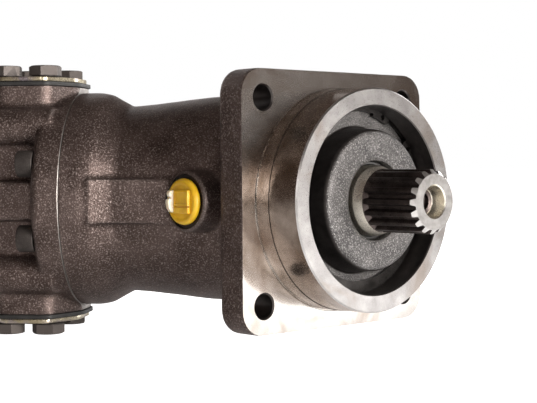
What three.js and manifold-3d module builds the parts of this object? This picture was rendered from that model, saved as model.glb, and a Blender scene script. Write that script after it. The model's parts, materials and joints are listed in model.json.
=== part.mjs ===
// A bent-axis axial piston pump of 63 cm3 a turn, carried by its square mounting flange.
// Millimetres. The origin is the centre of the flange's front face. +X runs out along the
// drive shaft, +Z points at port A, and the rear end bends towards -Y. The rear pieces sit
// in a turned group of their own: its x runs back along the barrel's axis from the pivot,
// where that axis meets the shaft's, its y points at the inside of the bend, and z is the
// pump's own z.
import * as THREE from "three";
import { mergeVertices } from "three/addons/utils/BufferGeometryUtils.js";
import Module from "manifold-3d";

const wasm = await Module();
wasm.setup();

// Driving dimensions
const bend = THREE.MathUtils.degToRad(40);
const pivotX = -60;
const pistonCount = 7;
const ballCircle = 31;
const ballRadius = 11;
const pistonRadius = 8.25;
const pistonLength = 65;
const barrelRadius = 40;
const barrelFront = 36;
const barrelBack = 104;
const controlSphere = 150;
const flangeSide = 145;
const flangeDepth = 18.7;
const boltCircle = 160;
const boltHole = 6.75;
const pilotRadius = 62.5;
const pilotFront = 31;
const shaftEnd = 72.3;
const splineTeeth = 16;
const bodyRadius = 61;
const bearingBore = 47;
const jointPlane = 110;
const jointRadius = 64;
const rearFace = 172;
const screwCircle = 56;
const portCentre = 139;
const portRadius = 12.5;
const portFace = 67;
const portBoltAlong = 11.9;
const portBoltAcross = 25.4;
const plugX = -44;

// Clearances
const facing = 0.3;
const running = 0.3;
const socketRunning = 0.6;
const seated = 0.15;

// Numbers of sides
const round = 32;
const small = 12;

// The barrel's bores stand on the circle that splits the pistons' sideways swing evenly,
// and each rod leans by the rest of it.
const boreCircle = (ballCircle * (1 + Math.cos(bend))) / 2;
const rodOffset = (ballCircle * (1 - Math.cos(bend))) / 2;
const rodReach = Math.sqrt(pistonLength ** 2 - rodOffset ** 2);
const rearTurn = Math.PI + bend;

// ---------------------------------------------------------------- solids

function solid(geometry) {
  const bare = geometry.clone();
  bare.deleteAttribute("normal");
  bare.deleteAttribute("uv");
  const merged = mergeVertices(bare, 1e-3);
  const vertProperties = merged.attributes.position.array;
  const triVerts = new Uint32Array(merged.index.array);
  return new wasm.Manifold(new wasm.Mesh({ numProp: 3, vertProperties, triVerts }));
}

function geometryOf(body) {
  const { vertProperties, triVerts } = body.getMesh();
  const geometry = new THREE.BufferGeometry();
  geometry.setAttribute("position", new THREE.BufferAttribute(vertProperties, 3));
  geometry.setIndex(new THREE.BufferAttribute(triVerts, 1));
  const flat = geometry.toNonIndexed();
  flat.computeVertexNormals();
  return flat;
}

function cut(body, ...tools) {
  return tools.reduce((left, tool) => left.subtract(tool), body);
}

function join(body, ...others) {
  return others.reduce((whole, other) => whole.add(other), body);
}

// A body of revolution about x. The profile's points are [x, radius]; it starts and ends on
// the axis, or closes on itself, and its outer side runs towards +x.
function turned(profile, sides = round) {
  const points = profile.map(([x, radius]) => new THREE.Vector2(radius, x));
  return new THREE.LatheGeometry(points, sides).rotateZ(-Math.PI / 2);
}

function disc(x0, x1, radius, sides = round) {
  return turned([[x0, 0], [x0, radius], [x1, radius], [x1, 0]], sides);
}

function ring(x0, x1, inner, outer, sides = round) {
  return turned([[x0, inner], [x0, outer], [x1, outer], [x1, inner], [x0, inner]], sides);
}

function ball(radius, x, y, z, sides = 20) {
  return new THREE.SphereGeometry(radius, sides, sides / 2).translate(x, y, z);
}

function box(x0, x1, y0, y1, z0, z1) {
  const centre = [(x0 + x1) / 2, (y0 + y1) / 2, (z0 + z1) / 2];
  return new THREE.BoxGeometry(x1 - x0, y1 - y0, z1 - z0).translate(...centre);
}

// A flat outline drawn in (y, z) and drawn out along x from x0 to x1.
function outlineAlongX(shape, x0, x1, curveSegments = 8) {
  const options = { depth: x1 - x0, bevelEnabled: false, curveSegments };
  const yToZToX = new THREE.Matrix4().makeBasis(
    new THREE.Vector3(0, 1, 0),
    new THREE.Vector3(0, 0, 1),
    new THREE.Vector3(1, 0, 0),
  );
  return new THREE.ExtrudeGeometry(shape, options).applyMatrix4(yToZToX).translate(x0, 0, 0);
}

// A flat outline drawn in (x, y) and drawn out along z from z0 to z1.
function outlineAlongZ(shape, z0, z1, curveSegments = 4) {
  const options = { depth: z1 - z0, bevelEnabled: false, curveSegments };
  return new THREE.ExtrudeGeometry(shape, options).translate(0, 0, z0);
}

function polygon(points) {
  return new THREE.Shape(points.map(([x, y]) => new THREE.Vector2(x, y)));
}

function circlePoint(radius, degrees) {
  const angle = THREE.MathUtils.degToRad(degrees);
  return [radius * Math.cos(angle), radius * Math.sin(angle)];
}

// Moves a geometry from the rear group's frame into the pump's.
function fromRear(geometry) {
  return geometry.rotateZ(rearTurn).translate(pivotX, 0, 0);
}

// ---------------------------------------------------------------- materials and nodes

const finishes = {
  castIron: { color: 0x4a403c, roughness: 0.75, metalness: 0.5 },
  coverIron: { color: 0x8d8784, roughness: 0.7, metalness: 0.6 },
  steel: { color: 0xb4b2b0, roughness: 0.3, metalness: 1 },
  darkSteel: { color: 0x3a3736, roughness: 0.45, metalness: 0.9 },
  zincSteel: { color: 0xa79d82, roughness: 0.35, metalness: 0.9 },
  bronze: { color: 0xa8793c, roughness: 0.35, metalness: 0.9 },
  rubber: { color: 0x151413, roughness: 0.7, metalness: 0 },
  yellowPlastic: { color: 0xd9a514, roughness: 0.4, metalness: 0 },
};

const pump = new THREE.Group();
const rear = new THREE.Group();
rear.position.x = pivotX;
rear.rotation.z = rearTurn;
pump.add(rear);

function addNode(group, name, body, finish) {
  const mesh = new THREE.Mesh(geometryOf(body), new THREE.MeshStandardMaterial(finishes[finish]));
  mesh.name = name;
  group.add(mesh);
  return mesh;
}

// ---------------------------------------------------------------- housing

const screwAngles = [22.5, 50, 130, 157.5, 202.5, 230, 310, 337.5];
const boreEnd = -42;
const jointFace = jointPlane - facing;

function roundedSquare(side, corner) {
  const half = side / 2;
  const inner = half - corner;
  const shape = new THREE.Shape();
  shape.absarc(inner, inner, corner, 0, Math.PI / 2);
  shape.absarc(-inner, inner, corner, Math.PI / 2, Math.PI);
  shape.absarc(-inner, -inner, corner, Math.PI, 1.5 * Math.PI);
  shape.absarc(inner, -inner, corner, 1.5 * Math.PI, 2 * Math.PI);
  return shape;
}

function plugBoss(side, face) {
  const bottom = side < 0 ? -face : 30;
  const top = side < 0 ? -30 : face;
  return disc(bottom, top, 17, 24).rotateZ(Math.PI / 2).translate(plugX, 0, 0);
}

function plugBore(side, face) {
  const inner = side * 38;
  const seat = side * (face - 1.2);
  const outer = side * (face + 12);
  const hole = disc(Math.min(inner, outer), Math.max(inner, outer), 9.3, small);
  const spotface = disc(Math.min(seat, outer), Math.max(seat, outer), 15.2, 24);
  return [hole, spotface].map((g) => solid(g.rotateZ(Math.PI / 2).translate(plugX, 0, 0)));
}

const insidePlugFace = 75.5;
const outsidePlugFace = 68;

function housing() {
  const flange = outlineAlongX(roundedSquare(flangeSide, 14), -flangeDepth, 0, 4);
  const front = turned([
    [pivotX, 0], [pivotX, bodyRadius], [-flangeDepth - 3, bodyRadius],
    [-flangeDepth, bodyRadius + 3], [-1, bodyRadius + 3], [-1, pilotRadius],
    [10, pilotRadius], [10.6, pilotRadius - 0.8], [pilotFront - 1, pilotRadius - 0.8],
    [pilotFront, pilotRadius - 1.8], [pilotFront, 0],
  ]);
  const barrelCase = turned([
    [0, 0], [0, bodyRadius], [28, 61], [52, 58.1], [68, 56.4], [76, 55.4], [83, 57.5],
    [91, 62.5], [98, jointRadius], [jointFace, jointRadius], [jointFace, 0],
  ]);
  const knee = ball(bodyRadius, 0, 0, 0, 24);
  const ribOutline = new THREE.Shape(
    [[30, 30], [30, 58.6], [79, 58.6], [93, 64.2], [99, 64.2], [99, 30]].map(
      ([along, up]) => new THREE.Vector2(along, up),
    ),
  );
  const rib = new THREE.ExtrudeGeometry(ribOutline, { depth: 2 * 12.8, bevelEnabled: false })
    .translate(0, 0, -12.8);
  const outside = join(
    solid(front),
    solid(flange),
    solid(fromRear(barrelCase)),
    solid(fromRear(knee)),
    solid(fromRear(rib)),
    solid(plugBoss(-1, insidePlugFace)),
    solid(plugBoss(1, outsidePlugFace)),
  );
  const mouth = turned([
    [pivotX, 0], [pivotX, bearingBore - 1.4], [boreEnd, bearingBore - 1.4],
    [boreEnd, bearingBore], [8, bearingBore], [8, 52.3], [14.2, 52.3], [14.2, 55], [17, 55],
    [17, 52.3], [pilotFront + 1, 52.3], [pilotFront + 1, 0],
  ]);
  const barrelSpace = turned([[0, 0], [0, 46], [jointPlane, 46], [jointPlane, 0]]);
  const kneeSpace = ball(49.5, 0, 0, 0, 20);
  const inside = [mouth, fromRear(barrelSpace), fromRear(kneeSpace)].map(solid);
  const flangeHoles = [45, 135, 225, 315].map((degrees) => {
    const [y, z] = circlePoint(boltCircle / 2, degrees);
    return solid(disc(-flangeDepth - 9, 1, boltHole, small).translate(0, y, z));
  });
  const threads = screwAngles.map((degrees) => {
    const [y, z] = circlePoint(screwCircle, degrees);
    return solid(fromRear(disc(92, jointPlane, 5.2, small).translate(0, y, z)));
  });
  const plugs = [...plugBore(-1, insidePlugFace), ...plugBore(1, outsidePlugFace)];
  return cut(outside, ...inside, ...flangeHoles, ...threads, ...plugs);
}

addNode(pump, "housing", housing(), "castIron");

// ---------------------------------------------------------------- port plate and its ports

// The outline that the port pads, their gaskets and their covers share, in (x, y).
function portOutline(grow) {
  const tip = portCentre - jointPlane + grow;
  const shoulder = 15.5 + grow;
  const half = 36.5 + grow;
  const corner = [[-tip, -12], [-shoulder, -half], [shoulder, -half], [tip, -12]];
  const outline = [...corner, ...corner.map(([x, y]) => [-x, -y])];
  return polygon(outline.map(([x, y]) => [x + portCentre, y]));
}

const portBolts = [-1, 1].flatMap((along) =>
  [-1, 1].map((across) => [portCentre + along * portBoltAlong, across * portBoltAcross]),
);

function upright(z0, z1, radius, x, y, sides = small) {
  return disc(z0, z1, radius, sides).rotateY(-Math.PI / 2).translate(x, y, 0);
}

// A curved slot of the control plate, on the bore circle, for one port. side is 1 or -1.
function kidney(side, halfWidth, x0, x1) {
  const from = side > 0 ? 0.18 * Math.PI : 1.18 * Math.PI;
  const to = from + 0.64 * Math.PI;
  const shape = new THREE.Shape();
  shape.absarc(0, 0, boreCircle + halfWidth, from, to, false);
  shape.absarc(0, 0, boreCircle - halfWidth, to, from, true);
  return outlineAlongX(shape, x0, x1, 6);
}

function portPlate() {
  const collar = turned([
    [jointPlane, 0], [jointPlane, jointRadius], [124, jointRadius], [126, jointRadius - 2],
    [126, 0],
  ]);
  const corners = [45, 135, 225, 315].map((degrees) => {
    const y = Math.sign(Math.cos(THREE.MathUtils.degToRad(degrees))) * 36;
    const z = Math.sign(Math.sin(THREE.MathUtils.degToRad(degrees))) * 43;
    return solid(disc(120, rearFace, 11.5, 16).translate(0, y, z));
  });
  const body = join(
    solid(collar),
    solid(box(120, rearFace, -50, 50, -11.5, 11.5)),
    solid(box(120, rearFace, -40, 40, -52, 52)),
    solid(outlineAlongZ(portOutline(0), -portFace, portFace)),
    ...corners,
  );
  const seat = disc(jointPlane - 1, 112, 38.4);
  const sealGroove = ring(jointPlane - 1, 111.8, 47, 50.2);
  const passages = [1, -1].flatMap((side) => [
    solid(kidney(side, 5.5, jointPlane, portCentre)),
    solid(upright(side > 0 ? 20 : -portFace - 1, side > 0 ? portFace + 1 : -20, portRadius,
      portCentre, 0, 24)),
  ]);
  const screwHoles = screwAngles.map((degrees) => {
    const [y, z] = circlePoint(screwCircle, degrees);
    return solid(disc(jointPlane - 1, rearFace + 1, 5.4, small).translate(0, y, z));
  });
  const boltHoles = portBolts.flatMap(([x, y]) => [
    solid(upright(50, portFace + 1, 5.2, x, y)),
    solid(upright(-portFace - 1, -50, 5.2, x, y)),
  ]);
  const headRoom = screwAngles.filter((_, i) => i % 4 === 0 || i % 4 === 3).map((degrees) => {
    const [y, z] = circlePoint(screwCircle, degrees);
    return solid(disc(126, rearFace + 1, 8.8, small).translate(0, y, z));
  });
  return cut(body, solid(seat), solid(sealGroove), ...passages, ...screwHoles, ...boltHoles,
    ...headRoom);
}

addNode(rear, "port_plate", portPlate(), "castIron");

// A ring of round section, about x.
function sealRing(x, radius, wire, sides = round) {
  const section = [];
  for (let i = 0; i <= 5; i++) {
    const angle = Math.PI + (i / 5) * 2 * Math.PI;
    section.push([x + wire * Math.cos(angle), radius - wire * Math.sin(angle)]);
  }
  return solid(turned(section, sides));
}

addNode(rear, "joint_seal", sealRing(jointPlane + 0.75, 48.6, 0.95), "rubber");

// A socket-head screw along x: its thread starts at x0, its head sits against seat.
function socketScrew(x0, seat, thread, headRadius, headHeight) {
  const body = turned([
    [x0, 0], [x0, thread], [seat, thread], [seat, headRadius],
    [seat + headHeight - 0.8, headRadius], [seat + headHeight, headRadius - 0.8],
    [seat + headHeight, 0],
  ], small);
  const socket = disc(seat + headHeight - 5, seat + headHeight + 1, 4.6, 6);
  return cut(solid(body), solid(socket));
}

screwAngles.forEach((degrees, i) => {
  const isShort = i % 4 === 0 || i % 4 === 3;
  const seat = (isShort ? 126 : rearFace) + facing;
  const screw = addNode(rear, `port_plate_screw_${i + 1}`, socketScrew(94, seat, 4.9, 8, 10),
    "darkSteel");
  const [y, z] = circlePoint(screwCircle, degrees);
  screw.position.set(0, y, z);
});

const gasketDepth = 2.4;
const coverDepth = 2.6;

function portSheet(grow, z0, z1, opening) {
  const holes = portBolts.map(([x, y]) => solid(upright(z0 - 1, z1 + 1, 5.4, x, y)));
  const centre = opening ? [solid(upright(z0 - 1, z1 + 1, opening, portCentre, 0, 24))] : [];
  return cut(solid(outlineAlongZ(portOutline(grow), z0, z1)), ...holes, ...centre);
}

// A hexagon-head bolt hanging down -z from a head that sits on z = 0.
function hexBolt(thread, length, acrossFlats, height) {
  const corner = acrossFlats / Math.sqrt(3);
  const head = turned([
    [0, 0], [0, corner], [height - 0.8, corner], [height, corner - 1.2], [height, 0],
  ], 6);
  const shank = disc(-length, 0.5, thread, small);
  return join(solid(head.rotateY(-Math.PI / 2)), solid(shank.rotateY(-Math.PI / 2)));
}

for (const [port, side] of [["a", 1], ["b", -1]]) {
  const gasketTop = portFace + facing + gasketDepth;
  const coverTop = gasketTop + facing + coverDepth;
  const level = (z0, z1) => (side > 0 ? [z0, z1] : [-z1, -z0]);
  const gasket = portSheet(1, ...level(portFace + facing, gasketTop), portRadius + 1);
  addNode(rear, `port_${port}_gasket`, gasket, "rubber");
  const cover = portSheet(-1.5, ...level(gasketTop + facing, coverTop), 0);
  addNode(rear, `port_${port}_cover`, cover, "zincSteel");
  portBolts.forEach(([x, y], i) => {
    const bolt = addNode(rear, `port_${port}_bolt_${i + 1}`, hexBolt(4.9, 20, 17, 6.4),
      "darkSteel");
    bolt.position.set(x, y, side * (coverTop + facing));
    bolt.rotation.x = side > 0 ? 0 : Math.PI;
  });
}

// ---------------------------------------------------------------- drain plugs

// A plastic plug along x: a threaded body below the seat at x = 0, a round head, and a
// split grip that stands up from one edge of a raised square.
function drainPlug() {
  const body = turned([
    [-12, 0], [-12, 8], [-11, 8.9], [0, 8.9], [0, 12.9], [3, 12.9], [4, 11.9], [4, 0],
  ], 18);
  const block = box(3, 6, -6.8, 6.8, -6.3, 6.3);
  const grip = box(3, 9.6, -6.8, -3.8, -6.3, 6.3);
  const slot = box(4.6, 10, -7, 7, -3.1, -2.1);
  return cut(join(solid(body), solid(block), solid(grip)), solid(slot));
}

const drainPlugs = [["inside", -1, insidePlugFace], ["outside", 1, outsidePlugFace]];
for (const [place, side, face] of drainPlugs) {
  const plug = addNode(pump, `drain_plug_${place}`, drainPlug(), "yellowPlastic");
  plug.position.set(plugX, side * (face - 1.2 + facing), 0);
  plug.rotation.z = (side * Math.PI) / 2;
}

// ---------------------------------------------------------------- shaft seal cover

const coverBore = 22.3;
const coverBack = 8.2;

function sealCover() {
  const body = turned([
    [coverBack, 29], [coverBack, 52.05], [9.6, 52.05], [9.6, 49.4], [12.4, 49.4],
    [12.4, 52.05], [14, 52.05], [14, 40.5], [29.8, 39], [pilotFront, 37.8],
    [pilotFront, coverBore], [24.3, coverBore], [24.3, 29], [coverBack, 29],
  ]);
  return solid(body);
}

// A rubber lip ring on a stiff outer case, with a dust lip at its front.
function shaftSeal() {
  return solid(turned([
    [15, 20.6], [15, 28.8], [24, 28.8], [24, 22], [25.6, 21.4], [25.6, 20.1], [22.6, 20.9],
    [21.5, 25.5], [18, 25.5], [16.5, 19.95], [15, 20.6],
  ]));
}

// A spring ring for the bore, open at one side, with an eye at each end. Its hole is off
// centre, so that it is widest opposite its opening.
function retainingRing() {
  const radians = THREE.MathUtils.degToRad;
  const shape = new THREE.Shape();
  const [offY, offZ] = circlePoint(2.7, 50);
  shape.absarc(0, 0, 54.6, radians(60), radians(400), false);
  shape.absarc(0, 0, 48.6, radians(400), radians(385), true);
  shape.absarc(offY, offZ, 47.7, radians(383), radians(77), true);
  shape.absarc(0, 0, 48.6, radians(75), radians(60), true);
  const eyes = [34, 66].map((degrees) => {
    const [y, z] = circlePoint(50.6, degrees);
    return solid(disc(10, 20, 1.6, 8).translate(0, y, z));
  });
  return cut(solid(outlineAlongX(shape, 14.4, 16.8, 18)), ...eyes);
}

addNode(pump, "seal_cover", sealCover(), "coverIron");
addNode(pump, "cover_seal", sealRing(11, 50.7, 1.2), "rubber");
addNode(pump, "shaft_seal", shaftSeal(), "rubber");
addNode(pump, "retaining_ring", retainingRing(), "darkSteel");
addNode(pump, "bearing_shim", solid(ring(6.2, 8, 40, 46.8)), "steel");

// ---------------------------------------------------------------- shaft and its bearings

const journal = 22.3;
const sealJournal = 19.6;
const discFront = -45;
const discRadius = 44.3;
const pinBall = 10;
const ballAngles = Array.from({ length: pistonCount }, (_, i) => (i / pistonCount) * 2 * Math.PI);

function splineOutline(root, tip) {
  const pitch = (2 * Math.PI) / splineTeeth;
  const tooth = [[root, -0.34], [tip, -0.19], [tip, 0.19], [root, 0.34]];
  const points = [];
  for (let i = 0; i < splineTeeth; i++) {
    for (const [radius, share] of tooth) {
      const angle = (i + share) * pitch;
      points.push([radius * Math.cos(angle), radius * Math.sin(angle)]);
    }
  }
  return polygon(points);
}

// The hollows that the piston balls and the pin's ball turn in.
function ballSockets() {
  const sockets = ballAngles.map((angle) => {
    const y = ballCircle * Math.cos(angle);
    const z = ballCircle * Math.sin(angle);
    return solid(ball(ballRadius + socketRunning, pivotX, y, z, 14));
  });
  return [...sockets, solid(ball(pinBall + socketRunning, pivotX, 0, 0, 14))];
}

function driveShaft() {
  const blank = turned([
    [pivotX, 0], [pivotX, discRadius], [discFront, discRadius], [discFront, 31],
    [boreEnd, 31], [boreEnd, journal], [6, journal], [8, sealJournal],
    [pilotFront, sealJournal], [33.5, 18], [35.5, 15.2], [36, 15.2], [36, 0],
  ]);
  const spline = solid(outlineAlongX(splineOutline(15.1, 17.3), 34, shaftEnd));
  const splineEnd = turned([
    [33, 0], [33, 20], [shaftEnd - 2.6, 17.4], [shaftEnd, 14.9], [shaftEnd, 0],
  ]);
  const centreHole = turned([
    [shaftEnd - 28, 0], [shaftEnd - 28, 5.1], [shaftEnd - 3, 5.1], [shaftEnd - 3, 6.5],
    [shaftEnd + 0.5, 9.2], [shaftEnd + 0.5, 0],
  ], 24);
  const whole = join(solid(blank), spline.intersect(solid(splineEnd)));
  return cut(whole, solid(centreHole), ...ballSockets());
}

// The plate's holes narrow towards the back, so that they hold the balls in.
function retainingPlate() {
  const front = pivotX - facing;
  const back = pivotX - 3.8;
  const hole = (radius) => turned([
    [back - 1, 0], [back - 1, radius - 0.2], [front + 1, radius + 0.6], [front + 1, 0],
  ], 14);
  const holes = ballAngles.map((angle) => {
    const y = ballCircle * Math.cos(angle);
    const z = ballCircle * Math.sin(angle);
    return solid(hole(ballRadius).translate(0, y, z));
  });
  return cut(solid(disc(back, front, discRadius)), ...holes, solid(hole(pinBall)));
}

addNode(pump, "drive_shaft", driveShaft(), "steel");
addNode(pump, "retaining_plate", retainingPlate(), "steel");

// Tapered roller bearings, drawn from the rollers' big end at x = 0 towards +x. The two
// stand back to back with their big ends together.
const bearingWidth = 23;
const rollerStart = 4;
const rollerLength = 15.5;
const rollerTilt = 0.25;
const rollerBig = 5;
const rollerSmall = 4.1;
const rollerCircle = 35.4;
const rollerCount = 11;

// A point of the rollers' track: along the roller by share, and out from its axis.
function trackPoint(share, out) {
  const along = share * rollerLength;
  const radius = rollerBig + (rollerSmall - rollerBig) * share;
  const reach = Math.sign(out) * (radius + Math.abs(out));
  return [
    rollerStart + along * Math.cos(rollerTilt) + reach * Math.sin(rollerTilt),
    rollerCircle - along * Math.sin(rollerTilt) + reach * Math.cos(rollerTilt),
  ];
}

function bearingCup() {
  const [x0, r0] = trackPoint(-0.05, running);
  const [x1, r1] = trackPoint(1.12, running);
  return solid(turned([
    [x0, r0], [x0, bearingBore - seated], [bearingWidth, bearingBore - seated],
    [bearingWidth, r1], [x0, r0],
  ]));
}

function bearingCone() {
  const [x0, r0] = trackPoint(0, -running);
  const [x1, r1] = trackPoint(1.08, -running);
  return solid(turned([
    [0, journal + seated], [0, 33], [x0 - 0.6, 33], [x0 - 0.6, r0], [x1, r1],
    [x1, journal + seated], [0, journal + seated],
  ]));
}

// The rollers, held together by the band of their cage.
function rollerSet() {
  const [x0, r0] = trackPoint(0.06, 0);
  const [x1, r1] = trackPoint(0.94, 0);
  const half = 1.3;
  const band = solid(turned([
    [x0, r0 - half], [x0, r0 + half], [x1, r1 + half], [x1, r1 - half], [x0, r0 - half],
  ], 24));
  const rollers = Array.from({ length: rollerCount }, (_, i) => {
    const roller = turned([
      [0, 0], [0, rollerBig], [rollerLength, rollerSmall], [rollerLength, 0],
    ], 6);
    roller.rotateZ(-rollerTilt).translate(rollerStart, rollerCircle, 0);
    return solid(roller.rotateX((i / rollerCount) * 2 * Math.PI));
  });
  return join(band, ...rollers);
}

const bearingMiddle = -18;
for (const [place, turn] of [["front", 0], ["rear", Math.PI]]) {
  const pieces = [["cup", bearingCup()], ["cone", bearingCone()], ["rollers", rollerSet()]];
  for (const [piece, body] of pieces) {
    const mesh = addNode(pump, `${place}_bearing_${piece}`, body, "steel");
    mesh.rotation.y = turn;
    mesh.position.x = bearingMiddle + (turn ? -1 : 1);
  }
}
addNode(pump, "bearing_spacer", solid(ring(-18.8, -17.2, journal + seated, 28)), "steel");

// ---------------------------------------------------------------- cylinder barrel

const boreRadius = 8.5;
const boreBottom = 91;
const pinRadius = 7;
const springEnd = 93;
const barrelAngle = (angle) => [-boreCircle * Math.cos(angle), boreCircle * Math.sin(angle)];

// Where the control sphere stands at a radius, moved by offset along x.
function controlFace(radius, offset) {
  const centre = barrelBack + Math.sqrt(controlSphere ** 2 - 38 ** 2);
  return [centre - Math.sqrt(controlSphere ** 2 - radius ** 2) + offset, radius];
}

function cylinderBarrel() {
  const face = [38, 26, 13, 0].map((radius) => controlFace(radius, 0));
  const blank = turned([
    [barrelFront, 0], [barrelFront, barrelRadius - 1], [barrelFront + 1, barrelRadius],
    [barrelBack - 3, barrelRadius], [barrelBack, 38.4], ...face,
  ]);
  const bores = ballAngles.flatMap((angle) => {
    const [y, z] = barrelAngle(angle);
    return [
      solid(disc(barrelFront - 1, boreBottom, boreRadius, 16).translate(0, y, z)),
      solid(disc(boreBottom - 1, barrelBack + 1, 4.6, 8).translate(0, y, z)),
    ];
  });
  const pinBore = turned([
    [barrelFront - 1, 0], [barrelFront - 1, pinRadius + 0.25], [springEnd, pinRadius + 0.25],
    [springEnd, 3], [barrelBack, 3], [barrelBack, 0],
  ], 24);
  return cut(solid(blank), ...bores, solid(pinBore));
}

function centrePin() {
  const neck = 4.4;
  const start = Math.asin(neck / pinBall);
  const cap = [];
  for (let i = 0; i <= 6; i++) {
    const angle = Math.PI - (i / 6) * (Math.PI - start);
    cap.push([pinBall * Math.cos(angle), i === 0 ? 0 : pinBall * Math.sin(angle)]);
  }
  return solid(turned([
    ...cap, [15, neck], [18, pinRadius - 0.6], [38, pinRadius], [70, pinRadius],
    [70.5, pinRadius - 0.5], [70.5, 0],
  ], 18));
}

// The spring that presses the barrel on to the control plate.
function centreSpring() {
  const turns = 5;
  const steps = turns * 7;
  const wire = 1;
  const from = 72.2;
  const to = springEnd - 1.4;
  const points = [];
  for (let i = 0; i <= steps; i++) {
    const angle = (i / steps) * turns * 2 * Math.PI;
    const x = from + ((to - from) * i) / steps;
    points.push(new THREE.Vector3(x, 5.2 * Math.cos(angle), 5.2 * Math.sin(angle)));
  }
  const section = new THREE.Shape().absarc(0, 0, wire, 0, 2 * Math.PI);
  const extrudePath = new THREE.CatmullRomCurve3(points);
  return solid(new THREE.ExtrudeGeometry(section, { steps, curveSegments: 5, extrudePath }));
}

function controlPlate() {
  const back = 112 - facing;
  const face = [0, 13, 26, 37.6].map((radius) => controlFace(radius, running));
  const blank = turned([...face, [106, 38], [back, 38], [back, 0]]);
  const slots = [1, -1].map((side) => solid(kidney(side, 4.6, 90, 115)));
  return cut(solid(blank), ...slots, solid(disc(90, 115, 3, 12)));
}

addNode(rear, "cylinder_barrel", cylinderBarrel(), "steel");
addNode(rear, "centre_pin", centrePin(), "steel");
addNode(rear, "centre_spring", centreSpring(), "darkSteel");
addNode(rear, "control_plate", controlPlate(), "bronze");

// ---------------------------------------------------------------- pistons

// A tapered rod along x from its ball at x = 0 to the crowned ring that seals in the bore.
function piston() {
  const crown = [];
  for (let i = 0; i <= 3; i++) {
    const x = -4.2 + (i / 3) * 8.4;
    crown.push([pistonLength + x, Math.sqrt(pistonRadius ** 2 - x ** 2)]);
  }
  return solid(turned([
    [ballRadius + facing, 0], [ballRadius + facing, 4.6], [17, 5.2], [pistonLength - 7, 7.2],
    ...crown, [pistonLength + 4.2, 0],
  ], small));
}

ballAngles.forEach((angle, i) => {
  const y = ballCircle * Math.cos(angle);
  const z = ballCircle * Math.sin(angle);
  const knob = addNode(pump, `piston_ball_${i + 1}`, solid(ball(ballRadius, 0, 0, 0, 12)), "steel");
  knob.position.set(pivotX, y, z);
  const rod = addNode(rear, `piston_${i + 1}`, piston(), "steel");
  rod.position.set(-y * Math.sin(bend), -y * Math.cos(bend), z);
  const lean = new THREE.Vector3(rodReach, -rodOffset * Math.cos(angle),
    -rodOffset * Math.sin(angle));
  rod.quaternion.setFromUnitVectors(new THREE.Vector3(1, 0, 0), lean.normalize());
});

export default pump;
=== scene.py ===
import json
import math

import bmesh
import bpy
from mathutils import Matrix, Vector

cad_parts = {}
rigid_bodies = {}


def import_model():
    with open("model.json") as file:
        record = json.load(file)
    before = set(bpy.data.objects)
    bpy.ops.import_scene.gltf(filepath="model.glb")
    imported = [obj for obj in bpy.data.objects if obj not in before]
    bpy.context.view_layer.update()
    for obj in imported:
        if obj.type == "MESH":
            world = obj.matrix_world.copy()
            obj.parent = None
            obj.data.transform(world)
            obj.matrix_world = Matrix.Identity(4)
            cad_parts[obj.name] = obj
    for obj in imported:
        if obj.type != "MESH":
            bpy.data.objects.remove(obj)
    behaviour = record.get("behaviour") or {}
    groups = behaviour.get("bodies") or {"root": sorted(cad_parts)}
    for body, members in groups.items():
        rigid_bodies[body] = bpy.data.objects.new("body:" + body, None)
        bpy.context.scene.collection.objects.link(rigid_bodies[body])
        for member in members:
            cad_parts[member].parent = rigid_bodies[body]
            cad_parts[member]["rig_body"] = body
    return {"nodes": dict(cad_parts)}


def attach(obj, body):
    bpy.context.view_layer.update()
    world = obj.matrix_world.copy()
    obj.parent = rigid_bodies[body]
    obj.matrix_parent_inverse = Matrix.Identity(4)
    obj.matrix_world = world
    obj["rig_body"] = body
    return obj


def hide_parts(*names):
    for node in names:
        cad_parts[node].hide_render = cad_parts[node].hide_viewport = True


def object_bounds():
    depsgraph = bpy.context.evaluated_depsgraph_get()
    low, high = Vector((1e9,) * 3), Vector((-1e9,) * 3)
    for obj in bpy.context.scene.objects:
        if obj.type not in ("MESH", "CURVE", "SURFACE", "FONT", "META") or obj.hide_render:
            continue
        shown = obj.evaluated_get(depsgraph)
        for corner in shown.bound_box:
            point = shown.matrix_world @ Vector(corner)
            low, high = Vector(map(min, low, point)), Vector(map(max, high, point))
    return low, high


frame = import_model()
cadLow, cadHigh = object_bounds()

mm = 0.001
fullTurn = 2 * math.pi
layout = {"pivotX": -60, "bend": 40, "pistons": 7, "ballCircle": 31}
bendAngle = math.radians(layout["bend"])
boreCircle = layout["ballCircle"] * (1 + math.cos(bendAngle)) / 2
rearTurn = math.radians(180 + layout["bend"])
rearFrame = Matrix.Translation((layout["pivotX"] * mm, 0, 0)) @ Matrix.Rotation(rearTurn, 4, "Z")
scene = bpy.context.scene
print("frame loaded:", len(frame["nodes"]), "nodes")

# camera, floor and lights

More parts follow.
